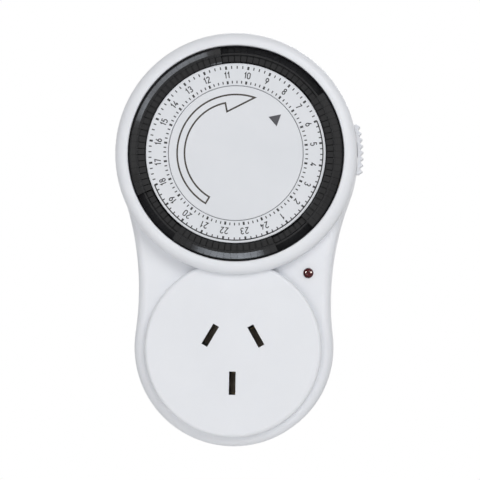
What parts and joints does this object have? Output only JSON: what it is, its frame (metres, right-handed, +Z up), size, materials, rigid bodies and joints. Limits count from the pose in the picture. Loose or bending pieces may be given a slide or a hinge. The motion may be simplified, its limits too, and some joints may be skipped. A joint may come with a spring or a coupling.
{
  "type": "plug in timer switch",
  "caption": "Plug in mains timer switch with a turning 24 hour dial, push in tappets, override knob, lamp and a three pin socket.",
  "frame": {"origin": "centre of the plug's pin pattern on the face that lies against the power point", "axes": "+Z up the wall, +X to the right seen from the front, the front faces -Y and the pins point along +Y"},
  "size_m": [0.0745, 0.0583, 0.1242],
  "materials": {
    "housing": "moulded white ABS, fine satin gloss",
    "dial_white": "printed white plastic",
    "tappet_black": "moulded black plastic",
    "wheel_black": "moulded black acetal",
    "gear_white": "natural acetal",
    "plate_grey": "moulded grey plastic",
    "sleeve_black": "moulded insulating sleeve",
    "brass": "bright stamped brass",
    "contact_bronze": "phosphor bronze strip",
    "steel": "zinc plated steel",
    "motor_can": "drawn aluminium can",
    "winding_copper": "enamelled copper wire",
    "bobbin": "moulded nylon bobbin",
    "lens_red": "clear dark red polycarbonate",
    "glass": "clear glass bulb",
    "resistor_body": "lacquered body",
    "wire_sleeve": "PVC insulation"
  },
  "bodies": {
    "casing": {"active_contact": "contact_bronze", "active_pin": "brass", "active_sleeve": "sleeve_black", "blade_terminal": "brass", "carrier_screws": "steel", "centre_disc": "dial_white", "coil_bobbin": "bobbin", "coil_winding": "winding_copper", "contact_carrier": "plate_grey", "dial_spindle": "brass", "earth_contact": "contact_bronze", "earth_pin": "brass", "fixed_contact": "brass", "front_housing": "housing", "housing_screws": "steel", "idler_arbor": "steel", "indicator_lens": "lens_red", "lamp_neutral_wire": "wire_sleeve", "lamp_resistor": "resistor_body", "lamp_supply_wire": "wire_sleeve", "lever_pin": "steel", "mechanism_plate": "plate_grey", "mechanism_screws": "steel", "motor_case": "motor_can", "motor_cover": "motor_can", "motor_neutral_wire": "wire_sleeve", "motor_screws": "steel", "motor_supply_wire": "wire_sleeve", "neon_lamp": "glass", "neutral_contact": "contact_bronze", "neutral_pin": "brass", "neutral_sleeve": "sleeve_black", "rear_housing": "housing", "supply_wire": "wire_sleeve", "switched_wire": "wire_sleeve"},
    "dial": {"dial_wheel": "wheel_black", "tappet_hoop": "wheel_black", "number_ring": "dial_white"},
    "idler": {"idler_gear": "gear_white"},
    "motor_output": {"motor_pinion": "brass"},
    "lever": {"switch_lever": "gear_white"},
    "blade": {"contact_blade": "contact_bronze"},
    "override": {"override_knob": "housing", "override_slider": "plate_grey"},
    "tappets_0015_0130": {"tappets_0015_0130": "tappet_black"},
    "tappets_0145_0645": {"tappets_0145_0645": "tappet_black"},
    "tappets_0700_1100": {"tappets_0700_1100": "tappet_black"},
    "tappets_1115_1800": {"tappets_1115_1800": "tappet_black"},
    "tappets_1815_2000": {"tappets_1815_2000": "tappet_black"},
    "tappets_2015_2400": {"tappets_2015_2400": "tappet_black"}
  },
  "joints": [
    {"name": "dial_spin", "type": "hinge", "parent": "casing", "child": "dial", "pos_m": [0, -0.02, 0.0586], "axis": [0, -1, 0], "continuous": true},
    {"name": "idler_spin", "type": "hinge", "parent": "casing", "child": "idler", "pos_m": [-0.00699, -0.0174, 0.03252], "axis": [0, -1, 0], "continuous": true},
    {"name": "motor_output_spin", "type": "hinge", "parent": "casing", "child": "motor_output", "pos_m": [0.00001, -0.0174, 0.04464], "axis": [0, -1, 0], "continuous": true},
    {"name": "tappets_0015_0130_push", "type": "slide", "parent": "dial", "child": "tappets_0015_0130", "axis": [0, 1, 0], "range_m": [-0.0022, 0]},
    {"name": "tappets_0145_0645_push", "type": "slide", "parent": "dial", "child": "tappets_0145_0645", "axis": [0, 1, 0], "range_m": [0, 0.0022]},
    {"name": "tappets_0700_1100_push", "type": "slide", "parent": "dial", "child": "tappets_0700_1100", "axis": [0, 1, 0], "range_m": [-0.0022, 0]},
    {"name": "tappets_1115_1800_push", "type": "slide", "parent": "dial", "child": "tappets_1115_1800", "axis": [0, 1, 0], "range_m": [0, 0.0022]},
    {"name": "tappets_1815_2000_push", "type": "slide", "parent": "dial", "child": "tappets_1815_2000", "axis": [0, 1, 0], "range_m": [-0.0022, 0]},
    {"name": "tappets_2015_2400_push", "type": "slide", "parent": "dial", "child": "tappets_2015_2400", "axis": [0, 1, 0], "range_m": [0, 0.0022]},
    {"name": "lever_tilt", "type": "hinge", "parent": "casing", "child": "lever", "pos_m": [0.02842, -0.0209, 0.05728], "axis": [-0.9659, 0, -0.2588], "range_deg": [-5.76, 0]},
    {"name": "blade_flex", "type": "hinge", "parent": "casing", "child": "blade", "pos_m": [0.02971, -0.0186, 0.05245], "axis": [-0.9659, 0, -0.2588], "range_deg": [-3.62, 0]},
    {"name": "override_turn", "type": "hinge", "parent": "casing", "child": "override", "pos_m": [0, -0.02, 0.0586], "axis": [0, 1, 0], "range_deg": [0, 7.9]}
  ],
  "couplings": [
    {"joint": "idler_spin", "follows": "dial_spin", "ratio": -8},
    {"joint": "motor_output_spin", "follows": "dial_spin", "ratio": 48},
    {"joint": "lever_tilt", "follows": "tappets_0700_1100_push", "rad_per_m": 45.531},
    {"joint": "blade_flex", "follows": "tappets_0700_1100_push", "rad_per_m": 28.56}
  ]
}
